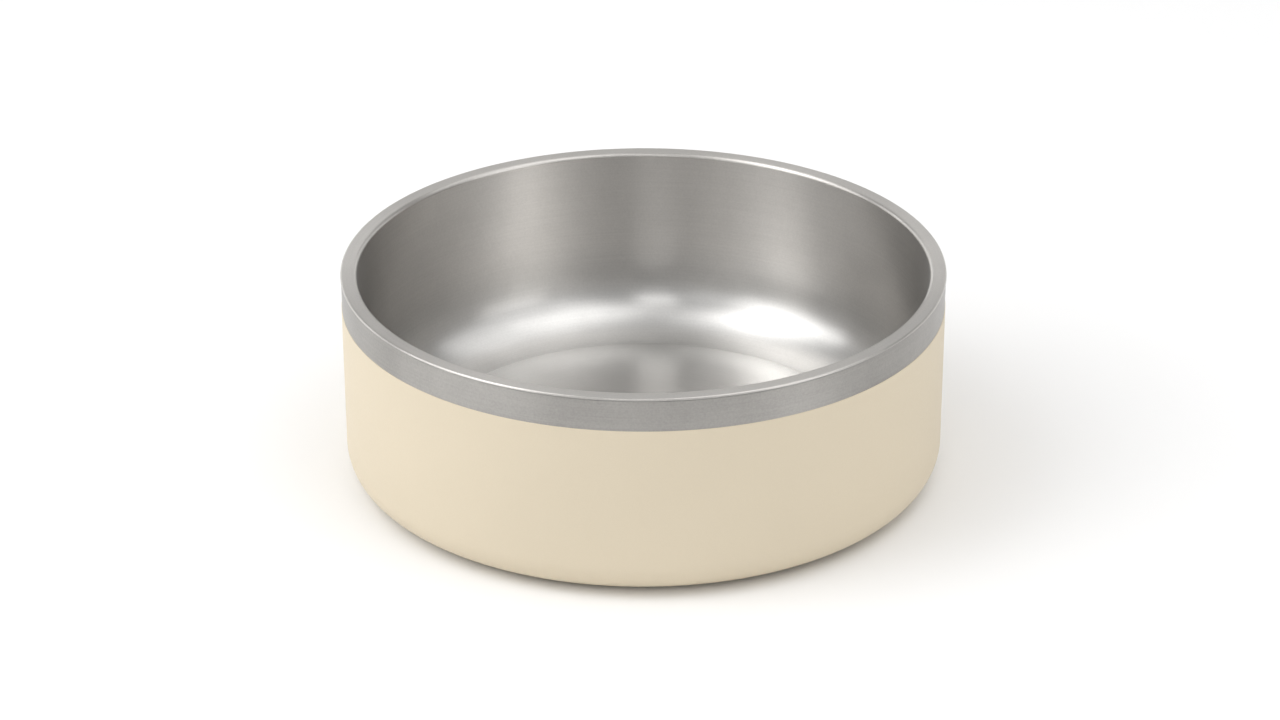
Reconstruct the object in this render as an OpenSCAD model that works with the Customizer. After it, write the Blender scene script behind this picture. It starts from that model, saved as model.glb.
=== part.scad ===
// Double-wall dog bowl: a drawn liner welded into a coated outer shell, on a soft foot ring.
// Every piece is turned about the Z axis. Z = 0 is the surface that the bowl stands on.

/* [Overall] */
// Outside diameter across the rim
bowl_d = 222; // [150:1:260]
// Height from the surface it stands on to the top of the rim
bowl_h = 80; // [60:0.5:110]

/* [Inner bowl] */
// Sheet thickness of the inner bowl
liner_t = 0.8; // [0.5:0.1:1.2]
// Radius that the inside wall loses between the rim and the floor
liner_draft = 2; // [0.5:0.1:6]
// Inside rounding between the wall and the floor
liner_corner_r = 22; // [10:0.5:36]

/* [Rim] */
// Width of the rim, from its outside edge to the inside wall
rim_w = 6; // [5:0.1:12]
// Rounding where the rim turns down into the inside wall
lip_r = 1.5; // [1.3:0.1:2.5]
// Rounding of the rim's outside edge
rim_edge_r = 0.7; // [0.2:0.05:1]
// Height of the weld seam under the rim
seam_h = 0.4; // [0.2:0.1:1]
// How far the weld seam is ground back under the edge of the rim
seam_inset = 0.05; // [0.02:0.01:0.1]

/* [Outer shell] */
// Sheet thickness of the outer shell
shell_t = 0.8; // [0.5:0.1:1.2]
// Radius that the outside wall loses between the rim and the base
shell_draft = 0.8; // [0.5:0.1:4]
// Outside rounding between the wall and the base
shell_corner_r = 12; // [6:0.5:20]
// Height of the bare band, from the top of the rim to the coat
band_h = 12.7; // [4:0.1:24]
// Width of the flat ring of base between the rounding and the dish
base_flat_w = 6; // [2:0.5:12]
// Depth of the dish pressed into the base
dish_h = 1.6; // [1:0.1:3]
// Air gap between the dish and the inner bowl's floor
base_gap = 5.5; // [2:0.1:12]

/* [Powder coat] */
// Thickness of the coat
coat_t = 0.2; // [0.15:0.01:0.4]

/* [Foot ring] */
// How far the ring stands below the base
foot_proud = 1.2; // [0.8:0.1:3]
// Width of the ring
foot_w = 10; // [5:0.5:20]
// Gap between the ring and the wall of the dish
foot_gap = 0.2; // [0.1:0.05:0.5]
// Rounding of the ring's lower edges
foot_edge_r = 0.8; // [0.2:0.1:1.2]

/* [Hidden] */
$fn = 180;

// How far a cutting shape runs past what it cuts
over = 1;
// How far a straight wall starts inside the rounding that it joins
tuck = 0.001;

rim_r = bowl_d / 2;
seam_top = bowl_h - liner_t;
shell_top = seam_top - seam_h;
band_z = bowl_h - band_h;

// Outside face of the shell, set in from the edge of the rim so that the coat ends flush with it
base_z = foot_proud + coat_t;
shell_base_r = rim_r - coat_t - shell_draft;
shell_lean = atan(shell_draft / (bowl_h - base_z));
dish_r = rounding_centre_r(shell_base_r, shell_corner_r, shell_lean) - base_flat_w;

// Inside face of the inner bowl
floor_z = base_z + dish_h + shell_t + base_gap + liner_t;
liner_floor_r = rim_r - rim_w - liner_draft;
liner_lean = atan(liner_draft / (bowl_h - floor_z));

// Centre of the lip's rounding, which touches the leaning wall and the top of the rim
lip_z = bowl_h - lip_r;
lip_centre_r = liner_floor_r + (lip_z - floor_z) * tan(liner_lean) + lip_r / cos(liner_lean);

// Foot ring in the coated dish
foot_top = base_z + dish_h - coat_t;
foot_out_r = dish_r - coat_t - foot_gap;
foot_in_r = foot_out_r - foot_w;

// Where the centre of a rounding lies that touches a flat base and a wall leaning out by lean degrees
function rounding_centre_r(base_r, corner_r, lean) =
    base_r + corner_r * tan(lean) - corner_r / cos(lean);

// Half section of a filled cup with a leaning wall rounded into a flat base.
// grow moves the wall, the rounding and the base outwards together, square to themselves.
module cup_section(base_r, base, top, lean, corner_r, grow) {
    r = corner_r + grow;
    centre_r = rounding_centre_r(base_r, corner_r, lean);
    centre_z = base + corner_r;
    translate([centre_r, centre_z])
        circle(r);
    polygon([
        [0, base - grow],
        [centre_r, base - grow],
        [centre_r, centre_z],
        [centre_r + (r - tuck) * cos(lean), centre_z - (r - tuck) * sin(lean)],
        [base_r + (top - base) * tan(lean) + grow / cos(lean), top],
        [0, top]
    ]);
}

// Half section of the space in the bowl and over its rim, grown into the sheet by grow
module bowl_space(grow) {
    bend_r = lip_r - grow;
    bend_z = lip_z + bend_r * sin(liner_lean);
    cup_section(liner_floor_r, floor_z, bend_z, liner_lean, liner_corner_r, grow);
    difference() {
        translate([0, bend_z])
            square([lip_centre_r, bowl_h + over - bend_z]);
        translate([lip_centre_r, lip_z])
            circle(bend_r);
    }
    translate([0, bowl_h - grow])
        square([rim_r + over, grow + over]);
}

// Half section of the filled outside of the shell with the dish in its base, grown outwards by grow
module shell_outline(grow, top) {
    difference() {
        cup_section(shell_base_r, base_z, top, shell_lean, shell_corner_r, grow);
        translate([0, base_z - grow - over])
            square([dish_r - grow, dish_h + over]);
    }
}

// Half section of what rounding the rim's outside edge takes away
module rim_edge_waste() {
    edge_r = min(rim_edge_r, 0.9 * liner_t);
    translate([rim_r - edge_r, bowl_h - edge_r])
        difference() {
            square(edge_r + over);
            circle(edge_r);
        }
}

// Drawn inner bowl with its wall turned out into the flat rim
module inner_bowl() {
    color("silver")
        rotate_extrude()
            difference() {
                intersection() {
                    bowl_space(liner_t);
                    square([rim_r, bowl_h]);
                }
                bowl_space(0);
                rim_edge_waste();
            }
}

// Drawn outer cup, open at the top under the weld seam
module outer_shell() {
    color("lightgray")
        rotate_extrude()
            difference() {
                shell_outline(0, shell_top);
                shell_outline(-shell_t, shell_top + over);
            }
}

// Weld seam, ground to run out from the top of the shell to the edge of the rim
module rim_weld() {
    shell_out_r = shell_base_r + (shell_top - base_z) * tan(shell_lean);
    shell_in_r = shell_out_r - shell_t / cos(shell_lean);
    color("dimgray")
        rotate_extrude()
            polygon([
                [shell_in_r, shell_top],
                [shell_out_r, shell_top],
                [rim_r - seam_inset, seam_top],
                [shell_in_r, seam_top]
            ]);
}

// Cream skin on the outside of the shell, from the bare band down and under the base
module powder_coat() {
    color("antiquewhite")
        rotate_extrude()
            difference() {
                shell_outline(coat_t, band_z);
                shell_outline(0, band_z + over);
            }
}

// Soft ring in the dish of the base, with its lower edges rounded
module foot_ring() {
    color("darkslategray")
        rotate_extrude() {
            for (edge_r = [foot_in_r + foot_edge_r, foot_out_r - foot_edge_r])
                translate([edge_r, foot_edge_r])
                    circle(foot_edge_r);
            translate([foot_in_r + foot_edge_r, 0])
                square([foot_w - 2 * foot_edge_r, foot_top]);
            translate([foot_in_r, foot_edge_r])
                square([foot_w, foot_top - foot_edge_r]);
        }
}

inner_bowl();
outer_shell();
rim_weld();
powder_coat();
foot_ring();
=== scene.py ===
import math

import bmesh
import bpy
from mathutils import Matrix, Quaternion, Vector


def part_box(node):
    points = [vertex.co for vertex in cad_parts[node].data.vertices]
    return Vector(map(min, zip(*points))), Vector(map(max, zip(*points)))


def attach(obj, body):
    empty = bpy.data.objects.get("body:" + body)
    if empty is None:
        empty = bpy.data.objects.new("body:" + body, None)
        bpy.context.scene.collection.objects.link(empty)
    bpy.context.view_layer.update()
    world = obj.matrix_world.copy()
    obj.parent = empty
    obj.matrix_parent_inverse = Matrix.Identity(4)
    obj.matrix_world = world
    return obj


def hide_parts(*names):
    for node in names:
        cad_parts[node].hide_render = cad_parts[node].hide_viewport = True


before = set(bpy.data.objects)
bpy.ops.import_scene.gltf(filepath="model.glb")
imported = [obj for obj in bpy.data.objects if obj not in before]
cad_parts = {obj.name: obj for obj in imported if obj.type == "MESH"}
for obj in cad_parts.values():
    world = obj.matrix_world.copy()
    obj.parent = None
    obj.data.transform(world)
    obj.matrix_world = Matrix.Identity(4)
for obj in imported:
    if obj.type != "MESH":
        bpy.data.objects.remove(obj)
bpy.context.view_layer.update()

# Camera, measured from the photograph
CAMERA_TARGET = Vector((-0.0013, 0, 0.0419))
CAMERA_DISTANCE = 1.776
CAMERA_ELEVATION = math.radians(25.58)
CAMERA_ROLL = math.radians(-0.106)
CAMERA_LENS = 135.0

# Sizes of the drawn pieces that their boxes don't give, in metres
LINER_DRAFT = 0.002
LINER_CORNER_R = 0.022
LINER_CORNER_EASE = 0.012
RIM_W = 0.006
LIP_R = 0.0015
RIM_EDGE_R = 0.0007
SHELL_DRAFT = 0.0008
SHELL_CORNER_R = 0.012
SHELL_T = 0.0008
BASE_FLAT_W = 0.006
DISH_H = 0.0016
FOOT_W = 0.010
FOOT_EDGE_R = 0.0008

# Small edge roundings, in metres
SHEET_EDGE_R = 0.0001
DISH_EDGE_R = 0.0004
DISH_BACK_EDGE_R = 0.0003
COAT_DISH_EDGE_R = 0.0005
COAT_EDGE_R = 0.00018

# How finely a turned piece is divided round the axis, and the liner's corner along its bend
TURN_STEPS = 320
BEND_STEPS = 36

# Brushing, in metres and parts of a turn, and the heights over which the corner's finish and painted
# shade give way to the wall's
HAIRLINE_PITCH = 0.0003
HAIRLINE_TURN = 0.04
STROKE_PITCH = 0.0010
STROKE_TURN = 0.13
BRUSH_DEPTH = 0.00002
ROUGHNESS_DRIFT = 0.008
FINISH_BELOW = 0.012
FINISH_ABOVE = 0.008

# Studio: the floor's radius in metres, and the light's levels
FLOOR_R = 5
LIGHT = 0.81
SURROUND = 0.47

liner_low, liner_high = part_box("inner_bowl")
shell_low, shell_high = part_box("outer_shell")
seam_low, seam_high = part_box("rim_weld")
coat_low, coat_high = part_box("powder_coat")
foot_low, foot_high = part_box("foot_ring")

rim_r = liner_high.x
rim_top = liner_high.z
liner_t = rim_top - seam_high.z
floor_top = liner_low.z + liner_t
shell_top = shell_high.z
base_low = shell_low.z
coat_t = base_low - coat_low.z
coat_top = coat_high.z
inside_h = rim_top - floor_top
liner_floor_r = rim_r - RIM_W - LINER_DRAFT
liner_lean = math.atan(LINER_DRAFT / inside_h)
foot_out_r = foot_high.x


def corner(r, z, rounding=0.0, steps=1):
    """A corner of a section: its radius and height, and how it is rounded."""
    return (r, z, rounding, steps)


def wall_r(base_r, base_z, draft, height, z):
    """Radius of a leaning wall at height z."""
    return base_r + draft * (z - base_z) / height


def eased_bend(radius, ease, total, steps):
    """Run, rise and slope along a bend that starts at a set radius and eases off to straight."""
    round_length = radius * total - ease / 2
    length = round_length + ease
    run = 0.0
    rise = 0.0
    course = []
    for i in range(steps + 1):
        past = max(0.0, length * i / steps - round_length)
        slope = (length * i / steps - past ** 2 / (2 * ease)) / radius
        if i > 0:
            middle = (slope + course[-1][2]) / 2
            run += length / steps * math.cos(middle)
            rise += length / steps * math.sin(middle)
        course.append((run, rise, slope))
    return course


def turned_piece(name, corners, closed=True):
    """A piece turned about the Z axis from its half section, with the corners rounded."""
    section = bmesh.new()
    points = [section.verts.new((r, 0, z)) for r, z, rounding, steps in corners]
    for a, b in zip(points, points[1:]):
        section.edges.new((a, b))
    if closed:
        section.edges.new((points[-1], points[0]))
    roundings = []
    for i, (r, z, rounding, steps) in enumerate(corners):
        if rounding > 0:
            here = points[i].co
            before = (points[i - 1].co - here).normalized()
            after = (points[(i + 1) % len(points)].co - here).normalized()
            reach = rounding / math.tan(before.angle(after) / 2)
            roundings.append((points[i], reach, steps))
    for point, reach, steps in roundings:
        bmesh.ops.bevel(
            section,
            geom=[point],
            offset=reach,
            offset_type="OFFSET",
            affect="VERTICES",
            segments=steps,
            profile=0.5,
            material=-1,
        )
    bmesh.ops.spin(
        section,
        geom=section.verts[:] + section.edges[:],
        cent=(0, 0, 0),
        axis=(0, 0, 1),
        angle=math.tau,
        steps=TURN_STEPS,
        use_merge=True,
    )
    bmesh.ops.remove_doubles(section, verts=section.verts[:], dist=1e-7)
    bmesh.ops.dissolve_degenerate(section, edges=section.edges[:], dist=1e-8)
    bmesh.ops.recalc_face_normals(section, faces=section.faces[:])
    mesh = bpy.data.meshes.new(name)
    section.to_mesh(mesh)
    section.free()
    mesh.shade_smooth()
    weigh_normals(mesh)
    piece = bpy.data.objects.new(name, mesh)
    bpy.context.scene.collection.objects.link(piece)
    return piece


def weigh_normals(mesh):
    """Wide faces set the shading, so that a flat stays flat up to its rounded edge."""
    totals = [Vector() for v in mesh.vertices]
    for face in mesh.polygons:
        push = face.normal * face.area
        for v in face.vertices:
            totals[v] += push
    mesh.normals_split_custom_set_from_vertices([n.normalized() for n in totals])


def fit(piece, node, slot, *finishes):
    """Puts a piece in the place of its CAD node."""
    for finish in finishes:
        piece.data.materials.append(finish)
    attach(piece, "root")
    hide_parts(node)


def add_node(tree, kind, **settings):
    node = tree.nodes.new(kind)
    for key, value in settings.items():
        setattr(node, key, value)
    return node


def join(tree, source, target):
    tree.links.new(source, target)


def arithmetic(tree, operation, first, second):
    """A Math node on two sockets or numbers."""
    node = add_node(tree, "ShaderNodeMath", operation=operation)
    for socket, value in zip(node.inputs, (first, second)):
        if isinstance(value, (int, float)):
            socket.default_value = value
        else:
            join(tree, value, socket)
    return node.outputs["Value"]


def spread(tree, value, low, high, from_low=0.3, from_high=0.7):
    """Maps a pattern's middle range onto low to high."""
    node = add_node(tree, "ShaderNodeMapRange")
    join(tree, value, node.inputs["Value"])
    node.inputs["From Min"].default_value = from_low
    node.inputs["From Max"].default_value = from_high
    node.inputs["To Min"].default_value = low
    node.inputs["To Max"].default_value = high
    return node.outputs["Result"]


def speckle(tree, place, scale, detail=2.0, roughness=0.5):
    """A noise pattern with scale cells to the metre."""
    node = add_node(tree, "ShaderNodeTexNoise")
    join(tree, place, node.inputs["Vector"])
    node.inputs["Scale"].default_value = scale
    node.inputs["Detail"].default_value = detail
    node.inputs["Roughness"].default_value = roughness
    return node.outputs["Fac"]


def shade(tree, pattern, dark, light):
    """A colour between two tones by a pattern."""
    node = add_node(tree, "ShaderNodeMix", data_type="RGBA")
    join(tree, pattern, node.inputs["Factor"])
    node.inputs["A"].default_value = (*dark, 1)
    node.inputs["B"].default_value = (*light, 1)
    return node.outputs["Result"]


def shift(tree, factor, first, second):
    """A colour that goes from one pattern of colours to another."""
    node = add_node(tree, "ShaderNodeMix", data_type="RGBA")
    join(tree, factor, node.inputs["Factor"])
    join(tree, first, node.inputs["A"])
    join(tree, second, node.inputs["B"])
    return node.outputs["Result"]


def climb(tree, place, low, high):
    """Goes softly from 0 to 1 between two heights."""
    parts = add_node(tree, "ShaderNodeSeparateXYZ")
    join(tree, place, parts.inputs[0])
    node = add_node(tree, "ShaderNodeMapRange", interpolation_type="SMOOTHSTEP")
    join(tree, parts.outputs["Z"], node.inputs["Value"])
    node.inputs["From Min"].default_value = low
    node.inputs["From Max"].default_value = high
    return node.outputs["Result"]


def relief(tree, shader, height, strength, depth):
    node = add_node(tree, "ShaderNodeBump")
    node.inputs["Strength"].default_value = strength
    node.inputs["Distance"].default_value = depth
    join(tree, height, node.inputs["Height"])
    join(tree, node.outputs["Normal"], shader.inputs["Normal"])


def new_finish(name):
    """An empty finish: its node tree, its shader and the place on the piece."""
    material = bpy.data.materials.new(name)
    material.use_nodes = True
    tree = material.node_tree
    shader = tree.nodes["Principled BSDF"]
    place = add_node(tree, "ShaderNodeTexCoord").outputs["Object"]
    return material, tree, shader, place


def turning_lines(tree, place, pitch, streak):
    """Fine lines that run round the axis: pitch apart, and streak of a turn long."""
    flat = add_node(tree, "ShaderNodeVectorMath", operation="MULTIPLY")
    join(tree, place, flat.inputs[0])
    flat.inputs[1].default_value = (1, 1, 0)
    length = add_node(tree, "ShaderNodeVectorMath", operation="LENGTH")
    join(tree, flat.outputs["Vector"], length.inputs[0])
    heading = add_node(tree, "ShaderNodeVectorMath", operation="NORMALIZE")
    join(tree, flat.outputs["Vector"], heading.inputs[0])
    along = add_node(tree, "ShaderNodeVectorMath", operation="SCALE")
    join(tree, heading.outputs["Vector"], along.inputs[0])
    along.inputs["Scale"].default_value = 1 / (math.tau * streak)
    parts = add_node(tree, "ShaderNodeSeparateXYZ")
    join(tree, place, parts.inputs[0])
    path = arithmetic(tree, "ADD", length.outputs["Value"], parts.outputs["Z"])
    across = add_node(tree, "ShaderNodeCombineXYZ")
    join(tree, arithmetic(tree, "MULTIPLY", path, 1 / pitch), across.inputs["Z"])
    spot = add_node(tree, "ShaderNodeVectorMath", operation="ADD")
    join(tree, along.outputs["Vector"], spot.inputs[0])
    join(tree, across.outputs["Vector"], spot.inputs[1])
    return speckle(tree, spot.outputs["Vector"], 1.0)


def tone(colour, factor):
    return tuple(c * factor for c in colour)


def blend(tree, *parts):
    """The sum of patterns, each with its share."""
    total = 0.0
    for pattern, part in parts:
        total = arithmetic(tree, "ADD", arithmetic(tree, "MULTIPLY", pattern, part), total)
    return total


def brushed_steel(name, colour, roughness, anisotropy, upper=None, mottle=0.055):
    """Steel brushed round the axis: hairlines, a few longer strokes and a fine satin grain.

    upper is the finish that it runs into up the wall: its colour, painted lighter on the liner's wall as
    painted light, and its roughness.
    mottle is how far the tone strays from the colour.
    """
    material, tree, shader, place = new_finish(name)
    hairlines = turning_lines(tree, place, HAIRLINE_PITCH, HAIRLINE_TURN)
    strokes = turning_lines(tree, place, STROKE_PITCH, STROKE_TURN)
    grain = speckle(tree, place, 1300, 3.0)
    clouds = speckle(tree, place, 55, 4.0)
    tones = blend(tree, (hairlines, 0.2), (strokes, 0.15), (grain, 0.35), (clouds, 0.3))
    lines = spread(tree, tones, 0, 1, 0.38, 0.62)
    colours = shade(tree, lines, tone(colour, 1 - mottle), tone(colour, 1 + mottle))
    satin = spread(tree, lines, roughness + ROUGHNESS_DRIFT, roughness - ROUGHNESS_DRIFT, 0, 1)
    if upper:
        upper_colour, upper_roughness = upper
        rise = climb(tree, place, wall_foot - FINISH_BELOW, wall_foot + FINISH_ABOVE)
        upper_colours = shade(tree, lines, tone(upper_colour, 1 - mottle), tone(upper_colour, 1 + mottle))
        colours = shift(tree, rise, colours, upper_colours)
        satin = blend(tree, (rise, upper_roughness - roughness), (satin, 1.0))
    join(tree, colours, shader.inputs["Base Color"])
    join(tree, satin, shader.inputs["Roughness"])
    relief(tree, shader, blend(tree, (hairlines, 0.5), (strokes, 0.5)), 0.08, BRUSH_DEPTH)
    shader.inputs["Metallic"].default_value = 1
    shader.inputs["Anisotropic"].default_value = anisotropy
    shader.inputs["Anisotropic Rotation"].default_value = 0.25
    tangent = add_node(tree, "ShaderNodeTangent", direction_type="RADIAL", axis="Z")
    join(tree, tangent.outputs["Tangent"], shader.inputs["Tangent"])
    return material


def cream_coat(name, colour):
    """Matte powder coat: a fine orange peel, with slight drifts of tone."""
    material, tree, shader, place = new_finish(name)
    peel = speckle(tree, place, 950, 2.0)
    waves = speckle(tree, place, 210, 1.0)
    drift = speckle(tree, place, 16, 2.0)
    grains = speckle(tree, place, 2400, 1.0)
    tones = spread(tree, blend(tree, (drift, 0.6), (grains, 0.4)), 0, 1)
    join(tree, shade(tree, tones, tone(colour, 0.97), tone(colour, 1.02)), shader.inputs["Base Color"])
    join(tree, spread(tree, peel, 0.62, 0.5), shader.inputs["Roughness"])
    relief(tree, shader, blend(tree, (peel, 0.45), (waves, 0.55)), 0.35, 0.00012)
    shader.inputs["Specular IOR Level"].default_value = 0.42
    return material


def soft_rubber(name, colour):
    """Moulded rubber: a matte grain with a faint bloom."""
    material, tree, shader, place = new_finish(name)
    grain = speckle(tree, place, 1800, 2.0)
    bloom = spread(tree, speckle(tree, place, 60, 3.0), 0, 1)
    join(tree, shade(tree, bloom, tone(colour, 0.85), tone(colour, 1.3)), shader.inputs["Base Color"])
    join(tree, spread(tree, grain, 0.9, 0.72), shader.inputs["Roughness"])
    relief(tree, shader, grain, 0.4, 0.0001)
    shader.inputs["Specular IOR Level"].default_value = 0.35
    return material


def ground_weld(name, colour):
    """A weld ground back: small ripples along the seam, dull and a little dark."""
    material, tree, shader, place = new_finish(name)
    ripples = speckle(tree, place, 700, 2.0)
    heat = spread(tree, speckle(tree, place, 90, 2.0), 0, 1)
    join(tree, shade(tree, heat, tone(colour, 0.75), tone(colour, 1.15)), shader.inputs["Base Color"])
    join(tree, spread(tree, ripples, 0.55, 0.4), shader.inputs["Roughness"])
    relief(tree, shader, ripples, 0.5, 0.0001)
    shader.inputs["Metallic"].default_value = 1
    return material


def plain_floor(name, colour):
    material, tree, shader, place = new_finish(name)
    shader.inputs["Base Color"].default_value = (*colour, 1)
    shader.inputs["Roughness"].default_value = 0.9
    shader.inputs["Specular IOR Level"].default_value = 0.1
    return material


def liner_r(z):
    """Inside radius of the liner's wall at height z."""
    return wall_r(liner_floor_r, floor_top, LINER_DRAFT, inside_h, z)


# The liner's corner: where its bend leaves the floor and meets the wall
bend = eased_bend(LINER_CORNER_R, LINER_CORNER_EASE, math.pi / 2 - liner_lean, BEND_STEPS)
wall_foot = floor_top + bend[-1][1]
floor_edge = liner_r(wall_foot) - bend[-1][0]

# Finishes
STEEL = (0.6, 0.58, 0.553)
PALE_STEEL = (0.61, 0.602, 0.588)
# The liner's wall, corner and floor are one sheet of steel given three tones as painted light: the wall
# and floor painted lighter and the corner painted darker, standing in for how the lamps fall on each.
WALL_STEEL_PAINTED_LIGHT = (0.652, 0.635, 0.614)
CORNER_STEEL_PAINTED_SHADE = tone(PALE_STEEL, 0.95)
FLOOR_STEEL_PAINTED_LIGHT = tone(PALE_STEEL, 1.09)
# The floor brushing carries the floor's painted lighter tone. The wall brushing climbs from the corner's
# painted shade to the wall's painted lighter tone, while its change of roughness is the finish's own.
floor_brush = brushed_steel("floor brushing", FLOOR_STEEL_PAINTED_LIGHT, 0.2, 0.6)
wall_brush = brushed_steel("wall brushing", CORNER_STEEL_PAINTED_SHADE, 0.295, 0.77, upper=(WALL_STEEL_PAINTED_LIGHT, 0.31))
# The rim's steel is painted 5% darker, a painted shade that tones down its reflection of the lamps.
rim_satin = brushed_steel("rim satin", tone(STEEL, 0.95), 0.35, 0.85)
# The band's steel is painted a third darker, a painted shade that tones down its reflection of the bright
# floor.
band_brush = brushed_steel("band brushing", tone(STEEL, 0.67), 0.39, 0.9, mottle=0.1)
weld_dull = ground_weld("weld seam", (0.4, 0.392, 0.38))
cream = cream_coat("cream powder coat", (0.69, 0.605, 0.463))
rubber = soft_rubber("foot rubber", (0.03, 0.03, 0.031))

# Inner bowl
skin = liner_t / math.cos(liner_lean)
flange_low = rim_top - liner_t
under_r = liner_r(flange_low) + skin
liner = turned_piece(
    "inner_bowl_steel",
    [
        corner(0, floor_top),
        *[corner(floor_edge + run, floor_top + rise) for run, rise, slope in bend],
        corner(liner_r(rim_top), rim_top, LIP_R, 10),
        corner(rim_r, rim_top, RIM_EDGE_R, 6),
        corner(rim_r, flange_low, SHEET_EDGE_R, 2),
        corner(under_r, flange_low, LIP_R - liner_t, 4),
        *[
            corner(
                floor_edge + run + liner_t * math.sin(slope),
                floor_top + rise - liner_t * math.cos(slope),
            )
            for run, rise, slope in reversed(bend)
        ],
        corner(0, floor_top - liner_t),
    ],
    closed=False,
)
fit(liner, "inner_bowl", "liner_steel", floor_brush, wall_brush, rim_satin)

# The liner is finished in zones, from the floor out to the rim
for face in liner.data.polygons:
    r = math.hypot(face.center.x, face.center.y)
    if face.center.z > rim_top - LIP_R:
        face.material_index = 2
    elif r > floor_edge:
        face.material_index = 1

# Outer shell
shell_h = rim_top - base_low
shell_base_r = rim_r - coat_t - SHELL_DRAFT
shell_lean = math.atan(SHELL_DRAFT / shell_h)
shell_skin = SHELL_T / math.cos(shell_lean)
shell_inside = base_low + SHELL_T


def shell_r(z):
    """Outside radius of the shell's wall at height z."""
    return wall_r(shell_base_r, base_low, SHELL_DRAFT, shell_h, z)


rounding_centre = shell_base_r + SHELL_CORNER_R * (math.tan(shell_lean) - 1 / math.cos(shell_lean))
dish_r = rounding_centre - BASE_FLAT_W
shell = turned_piece(
    "outer_shell_steel",
    [
        corner(0, base_low + DISH_H),
        corner(dish_r, base_low + DISH_H, DISH_EDGE_R, 3),
        corner(dish_r, base_low, DISH_EDGE_R, 3),
        corner(shell_base_r, base_low, SHELL_CORNER_R, 16),
        corner(shell_r(shell_top), shell_top, SHEET_EDGE_R, 2),
        corner(shell_r(shell_top) - shell_skin, shell_top, SHEET_EDGE_R, 2),
        corner(shell_r(shell_inside) - shell_skin, shell_inside, SHELL_CORNER_R - SHELL_T, 16),
        corner(dish_r + SHELL_T, shell_inside, DISH_BACK_EDGE_R, 3),
        corner(dish_r + SHELL_T, shell_inside + DISH_H, DISH_BACK_EDGE_R, 3),
        corner(0, shell_inside + DISH_H),
    ],
    closed=False,
)
fit(shell, "outer_shell", "shell_steel", band_brush)

# Weld seam
seam = turned_piece(
    "rim_weld_seam",
    [
        corner(shell_r(shell_top) - shell_skin, seam_low.z),
        corner(shell_r(shell_top), seam_low.z),
        corner(seam_high.x, seam_high.z),
        corner(shell_r(shell_top) - shell_skin, seam_high.z),
    ],
)
fit(seam, "rim_weld", "weld_steel", weld_dull)

# Powder coat
coat_skin = coat_t / math.cos(shell_lean)
coat = turned_piece(
    "powder_coat_skin",
    [
        corner(0, base_low + DISH_H - coat_t),
        corner(dish_r - coat_t, base_low + DISH_H - coat_t, DISH_BACK_EDGE_R, 3),
        corner(dish_r - coat_t, base_low - coat_t, COAT_DISH_EDGE_R, 4),
        corner(shell_r(base_low - coat_t) + coat_skin, base_low - coat_t, SHELL_CORNER_R + coat_t, 24),
        corner(shell_r(coat_top) + coat_skin, coat_top, COAT_EDGE_R, 4),
        corner(shell_r(coat_top), coat_top),
        corner(shell_base_r, base_low, SHELL_CORNER_R, 24),
        corner(dish_r, base_low, DISH_EDGE_R, 4),
        corner(dish_r, base_low + DISH_H, DISH_EDGE_R, 3),
        corner(0, base_low + DISH_H),
    ],
    closed=False,
)
fit(coat, "powder_coat", "cream_coat", cream)

# Foot ring
foot = turned_piece(
    "foot_ring_rubber",
    [
        corner(foot_out_r - FOOT_W, foot_high.z),
        corner(foot_out_r - FOOT_W, foot_low.z, FOOT_EDGE_R, 5),
        corner(foot_out_r, foot_low.z, FOOT_EDGE_R, 5),
        corner(foot_out_r, foot_high.z),
    ],
)
fit(foot, "foot_ring", "foot_rubber", rubber)

# Floor
floor_form = bmesh.new()
bmesh.ops.create_circle(floor_form, cap_ends=True, segments=96, radius=FLOOR_R)
floor_mesh = bpy.data.meshes.new("studio_floor")
floor_form.to_mesh(floor_mesh)
floor_form.free()
floor = bpy.data.objects.new("studio_floor", floor_mesh)
bpy.context.scene.collection.objects.link(floor)
floor_mesh.materials.append(plain_floor("studio floor", (0.9, 0.9, 0.9)))


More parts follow.
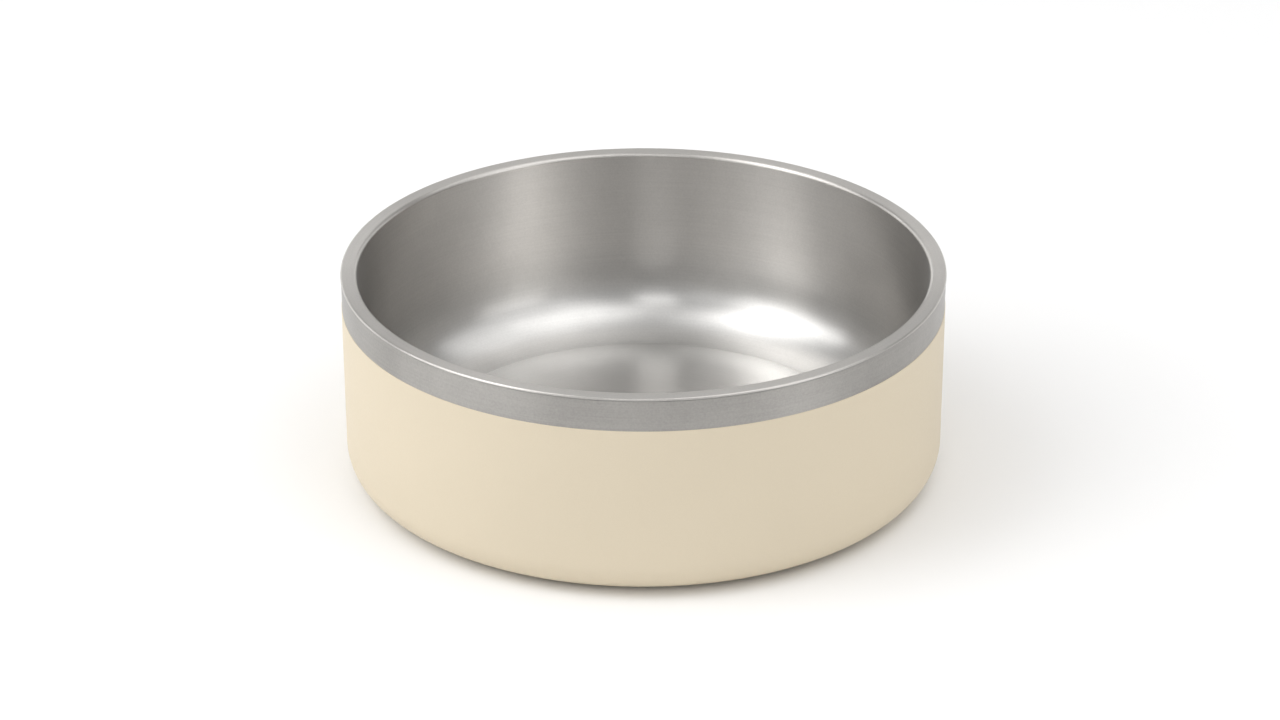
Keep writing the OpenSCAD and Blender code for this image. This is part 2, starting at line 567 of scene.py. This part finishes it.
def softbox(name, azimuth, elevation, distance, wide, tall, level, shape="RECTANGLE"):
    """A soft panel that faces the bowl; wide and tall are its angles as the bowl sees it."""
    data = bpy.data.lights.new(name, "AREA")
    data.shape = shape
    data.size = 2 * distance * math.tan(math.radians(wide / 2))
    data.size_y = 2 * distance * math.tan(math.radians(tall / 2))
    area = data.size * data.size_y
    if shape == "DISK":
        area = math.pi * data.size ** 2 / 4
    data.energy = level * LIGHT * math.pi * area
    a = math.radians(azimuth)
    e = math.radians(elevation)
    place = Vector((math.sin(a) * math.cos(e), -math.cos(a) * math.cos(e), math.sin(e))) * distance
    panel = bpy.data.objects.new(name, data)
    panel.location = place
    panel.rotation_mode = "QUATERNION"
    panel.rotation_quaternion = (-place).to_track_quat("-Z", "Y")
    bpy.context.scene.collection.objects.link(panel)


# Panels: direction, distance, angles and level of each
softbox("left panel", -78, 54, 1.9, 44, 56, 0.75)
softbox("left panel middle", -75, 52, 1.9, 30, 40, 1.55)
softbox("left panel heart", -75, 54, 1.9, 18, 24, 1.5)
softbox("low left panel", -70, 24, 5.0, 54, 32, 1.75)
softbox("left side panel", -109, 21.5, 5.0, 39, 9, 2.0)
softbox("front strip", -6.5, 41, 2.1, 14, 11, 3.4)
softbox("left front panel", -30, 30, 2.1, 16, 16, 1.0)
softbox("low right panel", 58, 15, 5.0, 27, 13, 3.8)
softbox("high right panel", 70, 58, 1.9, 66, 54, 0.95)
softbox("high right panel heart", 54, 64, 1.9, 34, 24, 0.9)
softbox("back panel", 180, 34, 2.2, 25, 20, 0.8)
softbox("left back panel", -140, 12, 5.0, 60, 20, 1.4)
softbox("right back panel", 140, 12, 5.0, 60, 20, 0.9)
softbox("top panel", 0, 90, 1.8, 86, 86, 0.31, "DISK")

# Surround
world = bpy.data.worlds.new("studio")
bpy.context.scene.world = world
world.use_nodes = True
surround = world.node_tree.nodes["Background"]
surround.inputs["Color"].default_value = (1, 1, 1, 1)
surround.inputs["Strength"].default_value = SURROUND * LIGHT

# Camera
camera_data = bpy.data.cameras.new("photo camera")
camera_data.sensor_fit = "HORIZONTAL"
camera_data.sensor_width = 36
camera_data.lens = CAMERA_LENS
camera = bpy.data.objects.new("photo camera", camera_data)
away = Vector((0, -math.cos(CAMERA_ELEVATION), math.sin(CAMERA_ELEVATION)))
camera.location = CAMERA_TARGET + away * CAMERA_DISTANCE
camera.rotation_mode = "QUATERNION"
camera.rotation_quaternion = (-away).to_track_quat("-Z", "Y") @ Quaternion((0, 0, 1), CAMERA_ROLL)
bpy.context.scene.collection.objects.link(camera)
bpy.context.scene.camera = camera
bpy.context.scene.view_settings.view_transform = "Standard"
